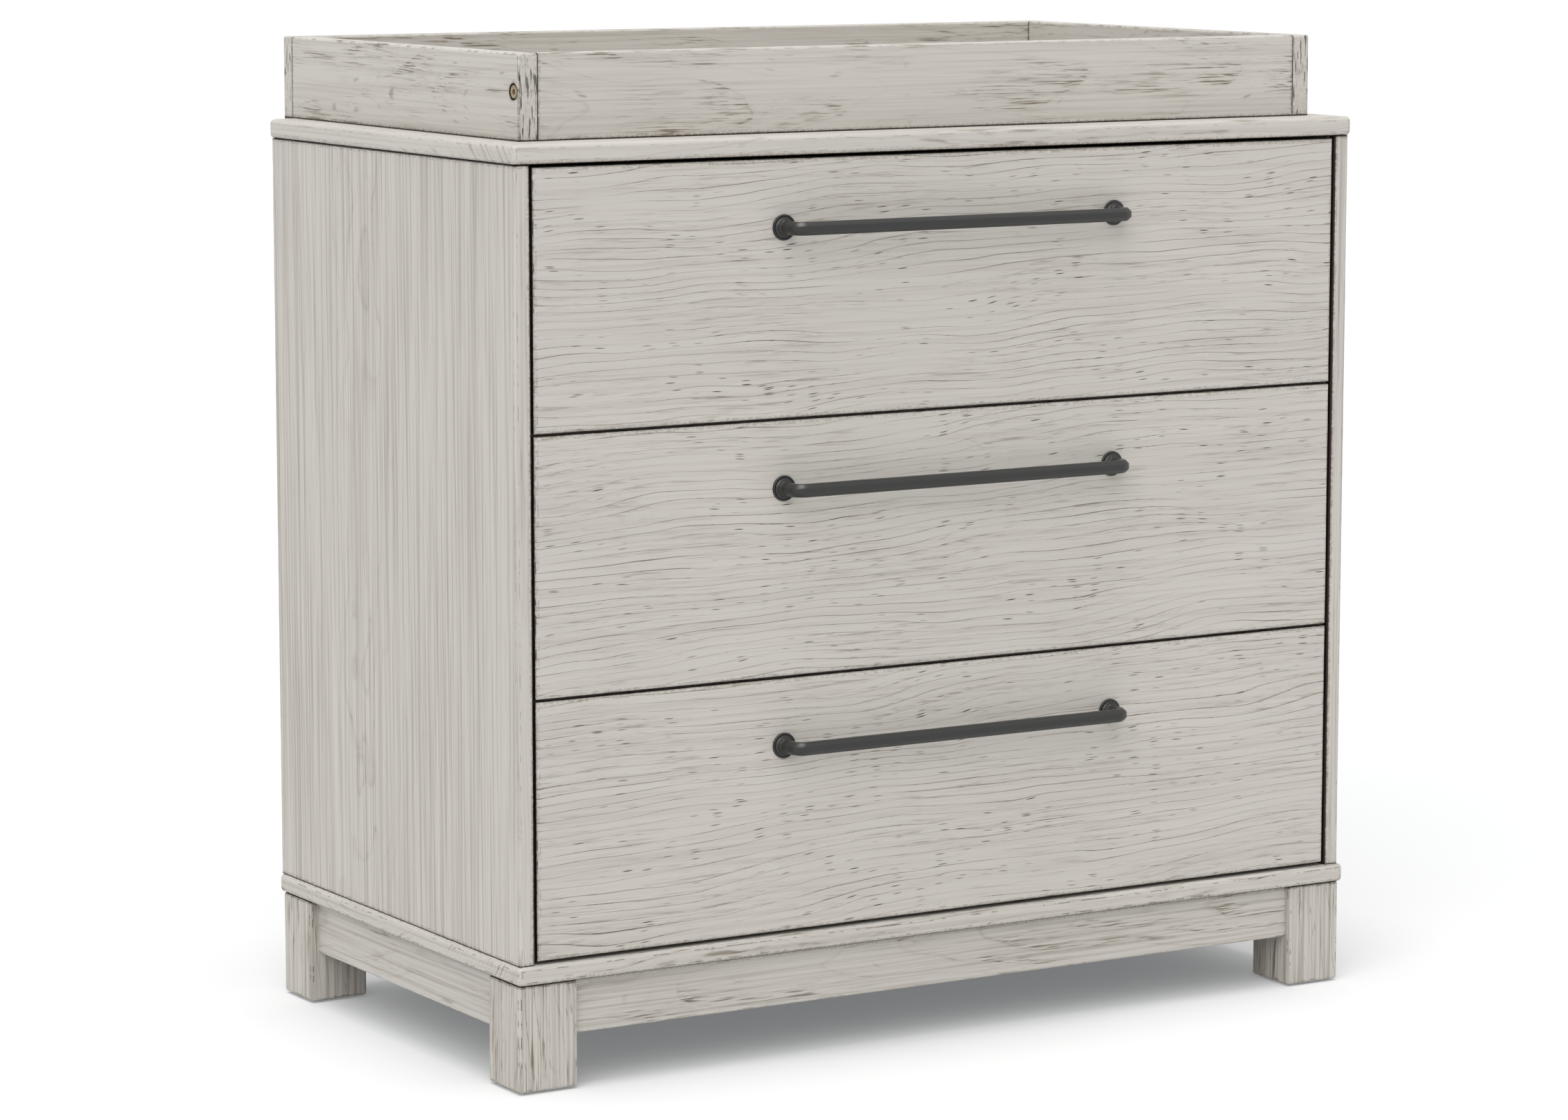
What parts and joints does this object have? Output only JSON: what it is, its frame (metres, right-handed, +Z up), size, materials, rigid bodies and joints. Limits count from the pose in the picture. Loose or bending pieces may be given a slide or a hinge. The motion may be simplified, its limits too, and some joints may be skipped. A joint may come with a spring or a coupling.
{
  "type": "changing table",
  "caption": "Freestanding changing table: a dresser of wide drawers with bar handles on square legs, topped by an open rectangular tray frame that holds a changing pad.",
  "frame": {"origin": "on the floor, in the middle of the table's overall width and depth, handles and tray included", "axes": "+X to the right seen from the front, +Y from the drawer fronts to the back, +Z up"},
  "size_m": [0.904, 0.537, 0.9155],
  "materials": {
    "whitewashed_wood": "wire-brushed and whitewashed, dark in the grain, matt lacquer",
    "plain_painted_wood": "smooth matt paint",
    "birch_plywood": "clear matt lacquer",
    "hardboard": "printed pale wood face, matt",
    "zinc_plated_steel": "bright zinc plate",
    "charcoal_metal": "satin charcoal powder coat",
    "antique_brass": "dull antique plate",
    "glide_plastic": "moulded, matt"
  },
  "bodies": {
    "cabinet": {"top_panel": "whitewashed_wood", "side_panel_left": "whitewashed_wood", "side_panel_right": "whitewashed_wood", "base_panel": "whitewashed_wood", "back_panel": "hardboard", "leg_front_left": "whitewashed_wood", "leg_front_right": "whitewashed_wood", "leg_back_left": "whitewashed_wood", "leg_back_right": "whitewashed_wood", "apron_front": "whitewashed_wood", "apron_back": "whitewashed_wood", "apron_left": "whitewashed_wood", "apron_right": "whitewashed_wood", "cross_rail_upper": "plain_painted_wood", "cross_rail_lower": "plain_painted_wood", "cam_nuts": "zinc_plated_steel", "cam_bolts": "zinc_plated_steel", "leg_bolts": "zinc_plated_steel", "leg_glides": "glide_plastic", "back_panel_screws": "zinc_plated_steel", "tray_front": "whitewashed_wood", "tray_back": "whitewashed_wood", "tray_left": "whitewashed_wood", "tray_right": "whitewashed_wood", "tray_bolts": "antique_brass", "tray_barrel_nuts": "zinc_plated_steel", "tray_fixing_screws": "antique_brass", "top_slide_outer": "zinc_plated_steel", "middle_slide_outer": "zinc_plated_steel", "bottom_slide_outer": "zinc_plated_steel"},
    "top_drawer": {"top_drawer_front": "whitewashed_wood", "top_drawer_side_left": "birch_plywood", "top_drawer_side_right": "birch_plywood", "top_drawer_back": "birch_plywood", "top_drawer_bottom": "birch_plywood", "top_slide_inner": "zinc_plated_steel", "top_handle_bar": "charcoal_metal", "top_handle_rosettes": "charcoal_metal", "top_handle_screws": "zinc_plated_steel"},
    "middle_drawer": {"middle_drawer_front": "whitewashed_wood", "middle_drawer_side_left": "birch_plywood", "middle_drawer_side_right": "birch_plywood", "middle_drawer_back": "birch_plywood", "middle_drawer_bottom": "birch_plywood", "middle_slide_inner": "zinc_plated_steel", "middle_handle_bar": "charcoal_metal", "middle_handle_rosettes": "charcoal_metal", "middle_handle_screws": "zinc_plated_steel"},
    "bottom_drawer": {"bottom_drawer_front": "whitewashed_wood", "bottom_drawer_side_left": "birch_plywood", "bottom_drawer_side_right": "birch_plywood", "bottom_drawer_back": "birch_plywood", "bottom_drawer_bottom": "birch_plywood", "bottom_slide_inner": "zinc_plated_steel", "bottom_handle_bar": "charcoal_metal", "bottom_handle_rosettes": "charcoal_metal", "bottom_handle_screws": "zinc_plated_steel"},
    "top_cage": {"top_ball_cage": "zinc_plated_steel"},
    "middle_cage": {"middle_ball_cage": "zinc_plated_steel"},
    "bottom_cage": {"bottom_ball_cage": "zinc_plated_steel"}
  },
  "joints": [
    {"name": "top_drawer_slide", "type": "slide", "parent": "cabinet", "child": "top_drawer", "axis": [0, -1, 0], "range_m": [0, 0.3]},
    {"name": "middle_drawer_slide", "type": "slide", "parent": "cabinet", "child": "middle_drawer", "axis": [0, -1, 0], "range_m": [0, 0.3]},
    {"name": "bottom_drawer_slide", "type": "slide", "parent": "cabinet", "child": "bottom_drawer", "axis": [0, -1, 0], "range_m": [0, 0.3]},
    {"name": "top_cage_slide", "type": "slide", "parent": "cabinet", "child": "top_cage", "axis": [0, -1, 0], "range_m": [0, 0.15]},
    {"name": "middle_cage_slide", "type": "slide", "parent": "cabinet", "child": "middle_cage", "axis": [0, -1, 0], "range_m": [0, 0.15]},
    {"name": "bottom_cage_slide", "type": "slide", "parent": "cabinet", "child": "bottom_cage", "axis": [0, -1, 0], "range_m": [0, 0.15]}
  ],
  "couplings": [
    {"joint": "top_cage_slide", "follows": "top_drawer_slide", "ratio": 0.5},
    {"joint": "middle_cage_slide", "follows": "middle_drawer_slide", "ratio": 0.5},
    {"joint": "bottom_cage_slide", "follows": "bottom_drawer_slide", "ratio": 0.5}
  ]
}
